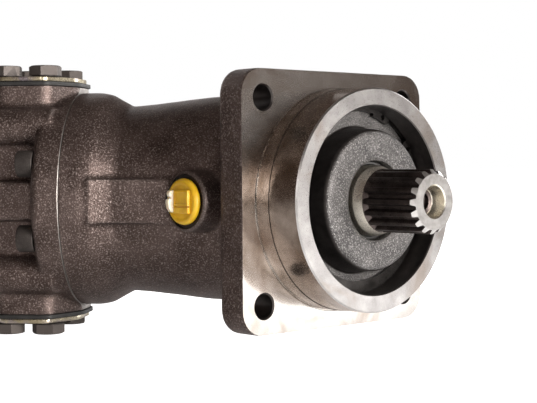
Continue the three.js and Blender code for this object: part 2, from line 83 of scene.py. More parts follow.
shot = {
    "eye": (0.54306, -0.56014, 0.0231),
    "azimuth": 46.96,
    "elevation": 1.76,
    "roll": -0.4,
    "lens": 91.93,
}
studio = {
    "backdrop": 1.0,
    "room": (0.105, 0.078, 0.064),
    "floor": (0.8, 0.8, 0.8),
    "floorSeen": 1.1,
    "floorRadius": 12,
    "floorGap": 0.0002,
    # painted light on the floor: a dim glow that fades away from under the pump, and a bright painted pool of
    # light beside it
    "glowNear": 0.16,
    "glowFar": 0.12,
    "glowReach": (0.42, 0.75),
    "paintedPoolGlow": 2.0,
    "paintedPoolAt": (0.33, 0.03, 0),
    "paintedPoolReach": (0.20, 0.36),
}
lamps = {
    "overheadBox": {"at": (0.0, -0.1, 1.2), "size": (0.8, 0.8), "power": 0.5},
    "backBox": {"at": (-0.05, 1.3, 0.3), "size": (0.8, 0.8), "power": 13},
    "rearBox": {"at": (-1.25, 0.1, 0.25), "size": (1.6, 1.2), "power": 7},
    "shaftSideBox": {"at": (1.2, 0.17, 0.12), "size": (0.5, 0.6), "power": 38, "colour": (1, 0.97, 0.94)},
    "frontBox": {"at": (0.85, -1.1, 0.3), "size": (0.5, 0.5), "power": 3.6, "colour": (1, 0.96, 0.94)},
}

cameraData = bpy.data.cameras.new("camera")
cameraData.lens = shot["lens"]
cameraData.sensor_width = 36
cameraData.clip_start = 0.01
camera = bpy.data.objects.new("camera", cameraData)
camera.matrix_world = (
    Matrix.Translation(shot["eye"])
    @ Matrix.Rotation(math.radians(shot["azimuth"]), 4, "Z")
    @ Matrix.Rotation(math.radians(90 - shot["elevation"]), 4, "X")
    @ Matrix.Rotation(math.radians(shot["roll"]), 4, "Z")
)
scene.collection.objects.link(camera)
scene.camera = camera
scene.view_settings.view_transform = "Standard"


def softbox(name, at, size, power, colour=(1, 1, 1), target=(-0.03, 0, 0)):
    data = bpy.data.lights.new(name, "AREA")
    data.shape = "RECTANGLE"
    data.size, data.size_y = size
    data.energy = power
    data.color = colour
    light = bpy.data.objects.new(name, data)
    aim = Vector(target) - Vector(at)
    light.matrix_world = Matrix.Translation(at) @ aim.to_track_quat("-Z", "Y").to_matrix().to_4x4()
    scene.collection.objects.link(light)


for name, lamp in lamps.items():
    softbox(name, **lamp)

# a dim brown room, behind a plain white backdrop
world = bpy.data.worlds.new("studio")
scene.world = world
world.use_nodes = True
sky = world.node_tree
sky.nodes.clear()
skyRoom = sky.nodes.new("ShaderNodeBackground")
skyPlain = sky.nodes.new("ShaderNodeBackground")
skySeen = sky.nodes.new("ShaderNodeLightPath")
skyMix = sky.nodes.new("ShaderNodeMixShader")
skyOut = sky.nodes.new("ShaderNodeOutputWorld")
skyRoom.inputs["Color"].default_value = (*studio["room"], 1)
skyPlain.inputs["Color"].default_value = (1, 1, 1, 1)
skyPlain.inputs["Strength"].default_value = studio["backdrop"]
sky.links.new(skySeen.outputs["Is Camera Ray"], skyMix.inputs[0])
sky.links.new(skyRoom.outputs[0], skyMix.inputs[1])
sky.links.new(skyPlain.outputs[0], skyMix.inputs[2])
sky.links.new(skyMix.outputs[0], skyOut.inputs["Surface"])

floorMesh = bmesh.new()
bmesh.ops.create_circle(floorMesh, cap_ends=True, segments=64, radius=studio["floorRadius"])
bmesh.ops.translate(floorMesh, vec=(0, 0, cadLow.z - studio["floorGap"]), verts=floorMesh.verts)
floorData = bpy.data.meshes.new("floor")
floorMesh.to_mesh(floorData)
floorMesh.free()
floor = bpy.data.objects.new("floor", floorData)
scene.collection.objects.link(floor)
floorLook = bpy.data.materials.new("paleFloor")
floorLook.use_nodes = True
floorShader = floorLook.node_tree.nodes["Principled BSDF"]
floorShader.inputs["Base Color"].default_value = (*studio["floor"], 1)
floorShader.inputs["Roughness"].default_value = 0.8
floorShader.inputs["Emission Color"].default_value = (1, 1, 1, 1)
floorNodes, floorLinks = floorLook.node_tree.nodes, floorLook.node_tree.links
floorPlace = floorNodes.new("ShaderNodeTexCoord")
floorRays = floorNodes.new("ShaderNodeLightPath")
floorGlow = floorNodes.new("ShaderNodeMix")
floorSum = floorNodes.new("ShaderNodeMath")
# for rays other than the camera's, the floor glows as painted light: a dim glow that fades away from under
# the pump, plus a bright painted pool of light on its +X side. Both light the pump from below. The camera
# sees the floor evenly white
underPump = Vector((0, 0, cadLow.z))
spot = underPump + Vector(studio["paintedPoolAt"])
for socket, centre, reach, levels in (
    (0, underPump, studio["glowReach"], (studio["glowNear"], studio["glowFar"])),
    (1, spot, studio["paintedPoolReach"], (studio["paintedPoolGlow"], 0)),
):
    away = floorNodes.new("ShaderNodeVectorMath")
    away.operation = "DISTANCE"
    away.inputs[1].default_value = centre
    fade = floorNodes.new("ShaderNodeMapRange")
    fade.inputs["From Min"].default_value, fade.inputs["From Max"].default_value = reach
    fade.inputs["To Min"].default_value, fade.inputs["To Max"].default_value = levels
    floorLinks.new(floorPlace.outputs["Object"], away.inputs[0])
    floorLinks.new(away.outputs["Value"], fade.inputs["Value"])
    floorLinks.new(fade.outputs["Result"], floorSum.inputs[socket])
floorGlow.inputs["B"].default_value = studio["floorSeen"]
floorLinks.new(floorRays.outputs["Is Camera Ray"], floorGlow.inputs["Factor"])
floorLinks.new(floorSum.outputs[0], floorGlow.inputs["A"])
floorLinks.new(floorGlow.outputs["Result"], floorShader.inputs["Emission Strength"])
floorData.materials.append(floorLook)
print("camera, lights and floor ready")

# finishes


def makeFinish(name, look):
    material = bpy.data.materials.new(name)
    material.use_nodes = True
    nodes, links = material.node_tree.nodes, material.node_tree.links
    shader = nodes["Principled BSDF"]
    shader.inputs["Metallic"].default_value = look.get("metal", 0)
    shader.inputs["Specular IOR Level"].default_value = look.get("specular", 0.5)
    shader.inputs["Coat Weight"].default_value = look.get("coat", 0)
    shader.inputs["Coat Roughness"].default_value = look.get("coatRoughness", 0.2)
    shader.inputs["Anisotropic"].default_value = look.get("anisotropic", 0)
    shader.inputs["Subsurface Weight"].default_value = look.get("glow", 0)
    shader.inputs["Subsurface Scale"].default_value = 0.002

    def node(kind, **values):
        made = nodes.new("ShaderNode" + kind)
        for key, value in values.items():
            if hasattr(made, key):
                setattr(made, key, value)
            else:
                made.inputs[key].default_value = value
        return made

    def noise(scale, detail=3.0, vector=None, distortion=0.0):
        made = node("TexNoise", Scale=scale, Detail=detail, Distortion=distortion)
        made.inputs["Roughness"].default_value = 0.6
        links.new(vector or place.outputs["Vector"], made.inputs["Vector"])
        return made.outputs["Fac"]

    def fromTo(value, low, high, outLow=0.0, outHigh=1.0):
        made = node("MapRange")
        made.inputs["From Min"].default_value = low
        made.inputs["From Max"].default_value = high
        made.inputs["To Min"].default_value = outLow
        made.inputs["To Max"].default_value = outHigh
        links.new(value, made.inputs["Value"])
        return made.outputs["Result"]

    def blended(factor, first, second, kind="MIX"):
        made = node("MixRGB", blend_type=kind)
        for socket, value in zip(made.inputs, (factor, first, second)):
            if isinstance(value, bpy.types.NodeSocket):
                links.new(value, socket)
            else:
                socket.default_value = value if isinstance(value, float) else (*value, 1)
        return made.outputs["Color"]

    def raised(height, distance, below=None):
        made = node("Bump", Strength=1.0, Distance=distance * mm)
        links.new(height, made.inputs["Height"])
        if below:
            links.new(below, made.inputs["Normal"])
        return made.outputs["Normal"]

    coords = node("TexCoord")
    place = node("Mapping", vector_type="TEXTURE")
    links.new(coords.outputs["Object"], place.inputs["Vector"])
    if look.get("rear"):
        place.inputs["Location"].default_value = (layout["pivotX"] * mm, 0, 0)
        place.inputs["Rotation"].default_value = (0, 0, rearTurn)

    mottle = noise(look.get("mottle", 60), 5.0)
    grain = noise(look.get("grain", 900), 3.0)
    colour = blended(fromTo(mottle, 0.36, 0.64), look["dark"], look["light"])
    if "speck" in look:
        speck = fromTo(grain, look.get("speckFrom", 0.52), look.get("speckTo", 0.68))
        colour = blended(speck, colour, look["speck"])
    if "pits" in look:
        pit = fromTo(noise(look["grain"] * 0.55, 2.0), 0.40, 0.30, 0.0, look["pits"])
        colour = blended(pit, colour, tuple(c * 0.25 for c in look["dark"]))
    if "stain" in look:
        stain = fromTo(noise(look.get("stainScale", 28), 3.0, None, 0.6), 0.50, 0.66, 0.0, 0.85)
        colour = blended(stain, colour, look["stain"])
    # convex edges are lightened from Pointiness: partly real rubbed wear, partly painted edge highlight
    if "wearAndEdgeHighlight" in look:
        shape = node("NewGeometry")
        wornAndLitEdges = fromTo(shape.outputs["Pointiness"], 0.515, 0.56, 0.0, look.get("wearAndEdgeHighlightAmount", 0.6))
        colour = blended(wornAndLitEdges, colour, look["wearAndEdgeHighlight"])
    links.new(colour, shader.inputs["Base Color"])

    smooth, coarse = look["rough"]
    links.new(fromTo(grain, 0.35, 0.65, smooth, coarse), shader.inputs["Roughness"])

    normal = None
    if "waves" in look:
        normal = raised(mottle, look["waves"], normal)
    if "grit" in look:
        normal = raised(grain, look["grit"], normal)
    if "turned" in look:
        parts = node("SeparateXYZ")
        links.new(place.outputs["Vector"], parts.inputs[0])
        flat = node("CombineXYZ")
        links.new(parts.outputs["Y"], flat.inputs["X"])
        links.new(parts.outputs["Z"], flat.inputs["Y"])
        reach = node("VectorMath", operation="LENGTH")
        links.new(flat.outputs[0], reach.inputs[0])
        lines = node("CombineXYZ")
        links.new(parts.outputs["X"], lines.inputs["X"])
        links.new(reach.outputs["Value"], lines.inputs["Y"])
        cut = noise(look.get("feed", 2600), 2.0, lines.outputs[0])
        normal = raised(cut, look["turned"], normal)
    if normal:
        links.new(normal, shader.inputs["Normal"])
    if look.get("anisotropic"):
        grainWay = node("Tangent", direction_type="RADIAL", axis="X")
        links.new(grainWay.outputs["Tangent"], shader.inputs["Tangent"])
    return material


finishLooks = {
    "castHousing": {
        "dark": (0.070, 0.049, 0.043),
        "light": (0.128, 0.094, 0.084),
        "speck": (0.44, 0.36, 0.33),
        "speckFrom": 0.52,
        "speckTo": 0.74,
        "pits": 0.3,
        # lighter convex edges: rubbed wear and painted edge highlight
        "wearAndEdgeHighlight": (0.30, 0.26, 0.24),
        "wearAndEdgeHighlightAmount": 0.35,
        "mottle": 55,
        "grain": 1100,
        "rough": (0.34, 0.56),
        "metal": 0.85,
        "grit": 0.30,
        "waves": 0.35,
    },
    # near-black iron: painted shade inside the bores, holes, thread holes and plug seats, and along the
    # pilot's step line
    "boreIronPaintedShade": {
        "dark": (0.035, 0.031, 0.030),
        "light": (0.075, 0.066, 0.062),
        "mottle": 60,
        "grain": 1500,
        "rough": (0.28, 0.44),
        "metal": 0.9,
        "turned": 0.012,
        "feed": 2200,
    },
    "machinedIron": {
        "dark": (0.52, 0.49, 0.46),
        "light": (0.70, 0.675, 0.65),
        "stain": (0.36, 0.29, 0.24),
        "stainScale": 22,
        "mottle": 40,
        "grain": 1600,
        "rough": (0.11, 0.22),
        "metal": 1.0,
        "turned": 0.010,
        "feed": 2200,
        "anisotropic": 0.35,
    },
    "machinedEdge": {
        "dark": (0.29, 0.278, 0.272),
        "light": (0.42, 0.405, 0.398),
        "stain": (0.26, 0.22, 0.19),
        "stainScale": 30,
        "mottle": 70,
        "grain": 1900,
        "rough": (0.26, 0.40),
        "metal": 1.0,
        "turned": 0.02,
        "feed": 2000,
        "grit": 0.03,
    },
    "machinedSide": {
        "dark": (0.21, 0.16, 0.13),
        "light": (0.46, 0.385, 0.33),
        "stain": (0.15, 0.103, 0.07),
        "stainScale": 34,
        "mottle": 34,
        "grain": 1600,
        "rough": (0.17, 0.30),
        "metal": 1.0,
        "turned": 0.016,
        "feed": 2400,
        "anisotropic": 0.4,
    },
    "machinedRear": {
        "dark": (0.24, 0.22, 0.205),
        "light": (0.38, 0.36, 0.34),
        "mottle": 50,
        "grain": 1600,
        "rough": (0.34, 0.50),
        "metal": 1.0,
        "turned": 0.012,
        "feed": 2200,
        "rear": True,
    },
    "castCover": {
        "dark": (0.020, 0.018, 0.0175),
        "light": (0.058, 0.054, 0.052),
        "speck": (0.25, 0.238, 0.233),
        "pits": 0.9,
        "mottle": 90,
        "grain": 1500,
        "rough": (0.38, 0.60),
        "metal": 0.6,
        "grit": 0.22,
    },
    # near-black finish for the cover boss's side: painted shade of the deep recess around it
    "paintedShadeCoverSide": {
        "dark": (0.022, 0.019, 0.018),
        "light": (0.050, 0.044, 0.042),
        "mottle": 90,
        "grain": 1500,
        "rough": (0.34, 0.52),
        "metal": 0.8,
        "grit": 0.1,
    },
    "turnedCover": {
        "dark": (0.30, 0.28, 0.27),
        "light": (0.46, 0.44, 0.42),
        "mottle": 60,
        "grain": 1400,
        "rough": (0.24, 0.38),
        "metal": 1.0,
        "turned": 0.015,
        "feed": 2400,
    },
    "groundSteel": {
        "dark": (0.50, 0.47, 0.41),
        "light": (0.70, 0.66, 0.58),
        "mottle": 45,
        "grain": 2400,
        "rough": (0.24, 0.36),
        "metal": 1.0,
        "turned": 0.006,
        "feed": 4200,
    },
    # near-black steel for the spline, the shaft's outer end and the centre hole's thread: painted shade and
    # painted dark reflection
    "splineSteelPaintedShade": {
        "dark": (0.028, 0.022, 0.020),
        "light": (0.068, 0.054, 0.050),
        "mottle": 120,
        "grain": 1800,
        "rough": (0.25, 0.42),
        "metal": 0.9,
        "waves": 0.02,
    },
    "endSteel": {
        "dark": (0.26, 0.248, 0.238),
        "light": (0.40, 0.387, 0.374),
        "mottle": 160,
        "grain": 2000,
        "rough": (0.28, 0.42),
        "metal": 0.95,
        "turned": 0.012,
        "feed": 3000,
    },
    "brightSteel": {
        "dark": (0.50, 0.49, 0.48),
        "light": (0.68, 0.67, 0.66),
        "mottle": 70,
        "grain": 2200,
        "rough": (0.16, 0.28),
        "metal": 1.0,
        "waves": 0.03,
    },
    "boltSteel": {
        "dark": (0.013, 0.011, 0.010),
        "light": (0.034, 0.029, 0.027),
        "speck": (0.060, 0.052, 0.047),
        # lighter convex edges: rubbed wear and painted edge highlight
        "wearAndEdgeHighlight": (0.15, 0.13, 0.12),
        "mottle": 180,
        "grain": 2200,
        "rough": (0.44, 0.62),
        "metal": 0.4,
        "specular": 0.15,
        "grit": 0.04,
    },
    "springSteel": {
        "dark": (0.020, 0.018, 0.017),
        "light": (0.045, 0.041, 0.039),
        "mottle": 150,
        "grain": 1900,
        "rough": (0.26, 0.42),
        "metal": 0.9,
        "grit": 0.03,
    },
    "zincPlate": {
        "dark": (0.42, 0.36, 0.24),
        "light": (0.62, 0.56, 0.42),
        "stain": (0.34, 0.30, 0.34),
        "stainScale": 60,
        "mottle": 45,
        "grain": 1700,
        "rough": (0.24, 0.38),
        "metal": 0.95,
        "grit": 0.03,
    },
    "bronze": {
        "dark": (0.44, 0.27, 0.12),
        "light": (0.62, 0.40, 0.19),
        "mottle": 60,
        "grain": 2000,
        "rough": (0.18, 0.32),
        "metal": 1.0,
        "turned": 0.01,
        "feed": 2400,
        "rear": True,
    },
    "rubber": {
        "dark": (0.010, 0.0095, 0.009),
        "light": (0.022, 0.021, 0.020),
        "mottle": 130,
        "grain": 1500,
        "rough": (0.48, 0.66),
        "grit": 0.05,
    },
    "plugPlastic": {
        "dark": (0.70, 0.40, 0.012),
        "light": (0.85, 0.53, 0.025),
        "mottle": 120,
        "grain": 1800,
        "rough": (0.28, 0.40),
        "coat": 0.15,
        "glow": 0.12,
        "waves": 0.05,
    },
    "plugGrip": {
        "dark": (0.72, 0.62, 0.42),
        "light": (0.86, 0.79, 0.66),
        "mottle": 200,
        "grain": 1800,
        "rough": (0.34, 0.46),
        "glow": 0.1,
        "waves": 0.04,
    },
}
finishes = {name: makeFinish(name, look) for name, look in finishLooks.items()}
scratchSlots = [bpy.data.materials.new("scratch" + str(i)) for i in range(5)]
print("finishes ready:", len(finishes))

# mesh tools


def bevelled(bm, geom, amount, segments, affect="VERTICES"):
    bmesh.ops.bevel(
        bm, geom=geom, offset=amount * mm, offset_type="OFFSET", segments=segments,
        profile=0.5, affect=affect, material=-1, clamp_overlap=affect == "EDGES",
    )


def spun(bm, steps, angle=fullTurn, merge=True, rise=0, copies=False):
    bmesh.ops.spin(
        bm, geom=bm.verts[:] + bm.edges[:], cent=(0, 0, 0), axis=(1, 0, 0), dvec=(rise, 0, 0),
        angle=angle, steps=steps, use_merge=merge, use_duplicate=copies,
    )


# profile points are (x, radius) or (x, radius, how much that corner is rounded), in mm
def turned(profile, steps=96, closed=False):
    bm = bmesh.new()
    verts = [bm.verts.new((p[0] * mm, p[1] * mm, 0)) for p in profile]
    for a, b in zip(verts, verts[1:]):
        bm.edges.new((a, b))
    if closed:
        bm.edges.new((verts[-1], verts[0]))
    for vert, point in zip(verts, profile):
        if len(point) > 2:
            bevelled(bm, [vert], point[2], 4)
    spun(bm, steps)
    return closedUp(bm)


def closedUp(bm):
    bmesh.ops.remove_doubles(bm, verts=bm.verts, dist=1e-6)
    bmesh.ops.recalc_face_normals(bm, faces=bm.faces)
    return bm


def drawnOut(bm, vec):
    made = bmesh.ops.extrude_face_region(bm, geom=bm.faces[:])
    moved = [v for v in made["geom"] if isinstance(v, bmesh.types.BMVert)]
    bmesh.ops.translate(bm, vec=vec, verts=moved)
    return closedUp(bm)


def softened(bm, amount, test, segments=3):
    bevelled(bm, [e for e in bm.edges if test(e)], amount, segments, "EDGES")
    return bm


def creased(edge, degrees=40):
    return len(edge.link_faces) == 2 and edge.calc_face_angle(0) > math.radians(degrees)


# outline points in (x, y), drawn out along z
def plate(outline, z0, z1, corner=0, edge=0, segments=6):
    bm = bmesh.new()
    face = bm.faces.new([bm.verts.new((x * mm, y * mm, z0 * mm)) for x, y in outline])
    if corner:
        bevelled(bm, face.verts[:], corner, segments)
    drawnOut(bm, (0, 0, (z1 - z0) * mm))
    if edge:
        softened(bm, edge, lambda e: creased(e, 60) and abs(e.verts[0].co.z - e.verts[1].co.z) < 1e-6)
    return bm


def block(x, y, z, edge=0, segments=3):
    bm = bmesh.new()
    bmesh.ops.create_cube(bm, size=1)
    size = [(b - a) * mm for a, b in (x, y, z)]
    middle = [(a + b) / 2 * mm for a, b in (x, y, z)]
    bmesh.ops.scale(bm, vec=size, verts=bm.verts)
    bmesh.ops.translate(bm, vec=middle, verts=bm.verts)
    return softened(bm, edge, creased, segments) if edge else bm


def ring(x0, x1, inner, outer, edge, steps=96):
    return turned(
        [(x0, inner, edge), (x0, outer, edge), (x1, outer, edge), (x1, inner, edge)], steps, closed=True,
    )


def threadGrooves(start, count, pitch, crest, root, slope=0.6):
    grooves = []
    for i in range(count):
        x = start + i * pitch
        grooves += [(x, crest), (x + slope, root), (x + 1.0, root)]
    return grooves


def rod(x0, x1, radius, steps=48, lip=0):
    ends = [(x0, radius, lip), (x1, radius, lip)] if lip else [(x0, radius), (x1, radius)]
    return turned([(x0, 0), *ends, (x1, 0)], steps)


def globe(radius, centre=(0, 0, 0), segments=64):
    bm = bmesh.new()
    bmesh.ops.create_uvsphere(bm, u_segments=segments, v_segments=segments // 2, radius=radius * mm)
    bmesh.ops.rotate(bm, cent=(0, 0, 0), matrix=Matrix.Rotation(math.pi / 2, 3, "Y"), verts=bm.verts)
    bmesh.ops.translate(bm, vec=[c * mm for c in centre], verts=bm.verts)
    return bm


# a slice of a flat ring about x, between two angles, drawn out from x0 to x1
def sector(x0, x1, inner, outer, start, end, steps=48, ends=0):
    bm = bmesh.new()
    pair = [bm.verts.new((x0 * mm, r * mm, 0)) for r in (inner, outer)]
    bm.edges.new(pair)
    bmesh.ops.rotate(bm, cent=(0, 0, 0), matrix=Matrix.Rotation(start, 3, "X"), verts=bm.verts)
    spun(bm, steps, end - start, merge=False)
    drawnOut(bm, ((x1 - x0) * mm, 0, 0))
    if ends:
        softened(bm, ends, lambda e: creased(e, 70) and abs(e.verts[0].co.x - e.verts[1].co.x) > 1e-5, 6)
    return bm


def moved(bm, matrix):
    bmesh.ops.transform(bm, matrix=matrix, verts=bm.verts)
    return bm


def toRear(bm):
    return moved(bm, rearFrame)


def at(x=0, y=0, z=0):
    return Matrix.Translation((x * mm, y * mm, z * mm))


def turnedRound(angle):
    return Matrix.Rotation(angle, 4, "X")


def sideways(side):  # +x becomes +y or -y
    return Matrix.Rotation(side * math.pi / 2, 4, "Z")


def upright(side):  # +x becomes +z or -z
    return Matrix.Rotation(-side * math.pi / 2, 4, "Y")


def onCircle(radius, degrees):
    return radius * math.cos(math.radians(degrees)), radius * math.sin(math.radians(degrees))


standing = Matrix(((0, 0, 1, 0), (1, 0, 0, 0), (0, 1, 0, 0), (0, 0, 0, 1)))  # x, y, z become y, z, x


def gathered(parts):
    whole = bmesh.new()
    for part in parts:
        scratch = bpy.data.meshes.new("scratch")
        part.to_mesh(scratch)
        part.free()
        whole.from_mesh(scratch)
        bpy.data.meshes.remove(scratch)
    return whole


# a face's x and its distance from the x axis, in mm
def placeOf(face):
    middle = face.calc_center_median()
    return middle.x / mm, math.hypot(middle.y, middle.z) / mm


def inFinish(bm, index):
    for face in bm.faces:
        face.material_index = index
    return bm


def onBench(bm):
    mesh = bpy.data.meshes.new("scratch")
    bm.to_mesh(mesh)
    bm.free()
    for material in scratchSlots:
        mesh.materials.append(material)
    held = bpy.data.objects.new("scratch", mesh)
    scene.collection.objects.link(held)
    return held


def offBench(held):
    depsgraph = bpy.context.evaluated_depsgraph_get()
    result = bpy.data.meshes.new_from_object(held.evaluated_get(depsgraph))
    bm = bmesh.new()
    bm.from_mesh(result)
    bpy.data.meshes.remove(result)
    cleared(held)
    return bm


def cleared(held):
    mesh = held.data
    bpy.data.objects.remove(held)
    bpy.data.meshes.remove(mesh)


def worked(bm, tools, operation="DIFFERENCE"):
    held = onBench(bm)
    benched = [onBench(tool) for tool in tools]
    for tool in benched:
        step = held.modifiers.new("work", "BOOLEAN")
        step.operation = operation
        step.solver = "MANIFOLD"
        step.object = tool
    result = offBench(held)
    for tool in benched:
        cleared(tool)
    return result


# overlapping shapes become one sand casting with soft inside and outside corners
def casting(parts, voxel=1.3, passes=5, uneven=0.3):
    held = onBench(gathered(parts))
    fused = held.modifiers.new("fused", "REMESH")
    fused.mode = "VOXEL"
    fused.voxel_size = voxel * mm
    eased = held.modifiers.new("eased", "SMOOTH")
    eased.factor = 0.5
    eased.iterations = passes
    clouds = bpy.data.textures.new("uneven", "CLOUDS")
    clouds.noise_scale = 0.016
    clouds.noise_depth = 2
    wavy = held.modifiers.new("wavy", "DISPLACE")
    wavy.texture = clouds
    wavy.texture_coords = "LOCAL"
    wavy.strength = uneven * mm
    wavy.mid_level = 0.6
    result = offBench(held)
    bpy.data.textures.remove(clouds)
    return inFinish(result, 0)


# a finished piece stands for one node and rides on that node's body
def addPiece(bm, node, looks, crease=32, kind="detail"):
    for face in bm.faces:
        face.smooth = True
    for edge in bm.edges:
        edge.smooth = not creased(edge, crease)
    name = f"{node}_{kind}"
    mesh = bpy.data.meshes.new(name)
    bm.to_mesh(mesh)
    bm.free()
    for look in looks:
        mesh.materials.append(finishes[look])
    piece = bpy.data.objects.new(name, mesh)
    scene.collection.objects.link(piece)
    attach(piece, frame["nodes"][node]["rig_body"])
    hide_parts(node)


# housing

screwCircle = 56
screwAngles = [22.5, 50, 130, 157.5, 202.5, 230, 310, 337.5]
shortScrews = [0, 3, 4, 7]
screwThread = 5.2
collarRadius = 64.1
plugSides = {"inside": -1, "outside": 1}
housing = {
    "flangeSide": 145,
    "flangeDepth": 18.7,
    "flangeCorner": 14,
    "bodyRadius": 61,
    "pilotRadius": 62.5,
    "pilotFront": 31,
    "boltCircle": 160,
    "boltHole": 6.75,
    "boltSpotFace": 11.6,
    "bearingBore": 47,
    "mouth": 52.3,
    "ringGroove": 55,
    "barrelSpace": 46,
    "kneeSpace": 49.5,
    "ribWidth": 25.6,
    "plugX": -44,
    "plugFaces": {"inside": 75.5, "outside": 68},
    "plugBoss": 17.2,
    "voxel": 1.2,
    "easing": 3,
}


def buildHousing(size):
    half = size["flangeSide"] / 2
    square = [(-half, -half), (half, -half), (half, half), (-half, half)]
    flange = moved(plate(square, -size["flangeDepth"], 1.5, size["flangeCorner"], 2.2, 8), standing)
    neck = size["bodyRadius"]
    body = turned([
        (-62, 0), (-62, neck), (-27, neck), (-19, 65.5, 3), (-16, 66), (2, 66), (32, 65), (32, 0),
    ])
    case = toRear(turned([
        (0, 0), (0, neck), (28, neck, 5), (52, 58.3, 5), (68, 56.4, 5), (79.5, 55.6, 1.2), (92.5, 62.9, 1.0),
        (98.5, collarRadius, 2), (111, collarRadius), (111, 0),
    ]))
    knee = toRear(globe(neck))
    rib = size["ribWidth"] / 2
    ridgeSide = [
        (30, 30), (30, 58.8), (60, 58.9), (80.5, 58.6), (92.8, 63.7), (95, 62.4), (98, 62.4), (98, 30),
    ]
    ridge = toRear(plate(ridgeSide, -rib, rib, 0, 0.5))
    bosses = []
    for place, side in plugSides.items():
        boss = moved(rod(30, size["plugFaces"][place], size["plugBoss"], 48, 1.0), sideways(side))
        bosses.append(moved(boss, at(size["plugX"])))
    cast = casting([flange, body, case, knee, ridge, *bosses], size["voxel"], size["easing"])

    pilot, front = size["pilotRadius"], size["pilotFront"]
    frontCut = turned([
        (front, 0), (front, pilot - 1.1), (front - 0.8, pilot - 0.3), (10.2, pilot - 0.3),
        (10, pilot), (0.9, pilot), (0.2, pilot - 0.5),
        (-0.7, pilot - 0.3), (-0.7, pilot + 0.5), (0, pilot + 0.8),
        (0, 130), (50, 130), (50, 0),
    ], 160)
    for face in frontCut.faces:
        x, reach = placeOf(face)
        face.material_index = faceSlot
        if x > front - 0.9:
            face.material_index = edgeSlot
        elif x > 0.1 and reach < pilot + 0.2:
            face.material_index = sideSlot
    stepLine = turned([(9.9, 60), (9.9, 64), (10.25, 64), (10.25, pilot - 0.6)], 160, closed=True)
    bore, wide, groove = size["bearingBore"], size["mouth"], size["ringGroove"]
    mouth = turned([
        (-70, 0), (-70, 45.6), (-42, 45.6), (-42, bore), (8, bore), (8, wide), (14.2, wide),
        (14.2, groove), (17, groove), (17, wide), (front - 0.6, wide), (front + 0.4, wide + 1),
        (front + 3, wide + 1), (front + 3, 0),
    ], 128)
    jointCut = toRear(turned([
        (109.7, 0), (109.7, 63.75), (109.45, 63.95), (109.45, 90), (130, 90), (130, 0),
    ], 128))
    hole, spotFace = size["boltHole"], size["boltSpotFace"]
    holes = []
    for degrees in (45, 135, 225, 315):
        bolt = turned([
            (-30, 0), (-30, spotFace), (-18.5, spotFace), (-18.5, hole), (-0.8, hole), (0.4, hole + 1.2),
            (3, hole + 1.2), (3, 0),
        ], 48)
        holes.append(moved(bolt, at(0, *onCircle(size["boltCircle"] / 2, degrees))))
    threads = [
        toRear(moved(rod(92, 111, screwThread, 24), at(0, *onCircle(screwCircle, degrees))))
        for degrees in screwAngles
    ]
    plugs = []
    for place, side in plugSides.items():
        face = size["plugFaces"][place]
        seat = turned([
            (38, 0), (38, 9.3), (face - 2.4, 9.3), (face - 1.2, 10.4), (face - 1.2, 15.2),
            (face - 0.3, 15.2), (face + 0.3, 15.8), (face + 12, 15.8), (face + 12, 0),
        ], 64)
        plugs.append(moved(moved(seat, sideways(side)), at(size["plugX"])))
    # the mouth, bolt holes, thread holes, plug seats and the pilot's step line take the near-black bore
    # finish: painted shade
    paintedShadeCuts = [stepLine, mouth, gathered(holes), gathered(threads), gathered(plugs)]
    rough = [toRear(rod(0, 112, size["barrelSpace"], 96)), toRear(globe(size["kneeSpace"]))]
    tools = [([jointCut], edgeSlot), (paintedShadeCuts, paintedShadeSlot), (rough, castSlot)]
    return worked(cast, [frontCut] + [inFinish(tool, index) for group, index in tools for tool in group])


castSlot, faceSlot, paintedShadeSlot, edgeSlot, sideSlot = range(5)
addPiece(
    buildHousing(housing), "housing",
    ["castHousing", "machinedIron", "boreIronPaintedShade", "machinedEdge", "machinedSide"], kind="casting",
)
print("housing cast and machined")

# port plate

portPlate = {
    "joint": 110,
    "rearFace": 172,
    "pocket": 126,
    "pocketRadius": 9.2,
    "screwHole": 5.4,
    "columns": (36, 43, 11.6),
    "portCentre": 139,
    "portRadius": 12.5,
    "portFace": 67,
    "boltAlong": 11.9,
    "boltAcross": 25.4,
}
kidneyPort = {"start": 0.18, "sweep": 0.64, "roundEnds": 0.92}
portBolts = [
    (portPlate["portCentre"] + i * portPlate["boltAlong"], j * portPlate["boltAcross"])
    for i in (-1, 1)
    for j in (-1, 1)
]


def portOutline(grow):
    tip, shoulder, half = 29 + grow, 15.5 + grow, 36.5 + grow
    right = [(-tip, -12), (-shoulder, -half), (shoulder, -half), (tip, -12)]
    return [(portPlate["portCentre"] + x, y) for x, y in right + [(-x, -y) for x, y in right]]


def kidney(side, halfWidth, x0, x1):
    start = (kidneyPort["start"] + (0 if side > 0 else 1)) * math.pi
    end = start + kidneyPort["sweep"] * math.pi
    inner, outer = boreCircle - halfWidth, boreCircle + halfWidth
    return sector(x0, x1, inner, outer, start, end, 40, halfWidth * kidneyPort["roundEnds"])


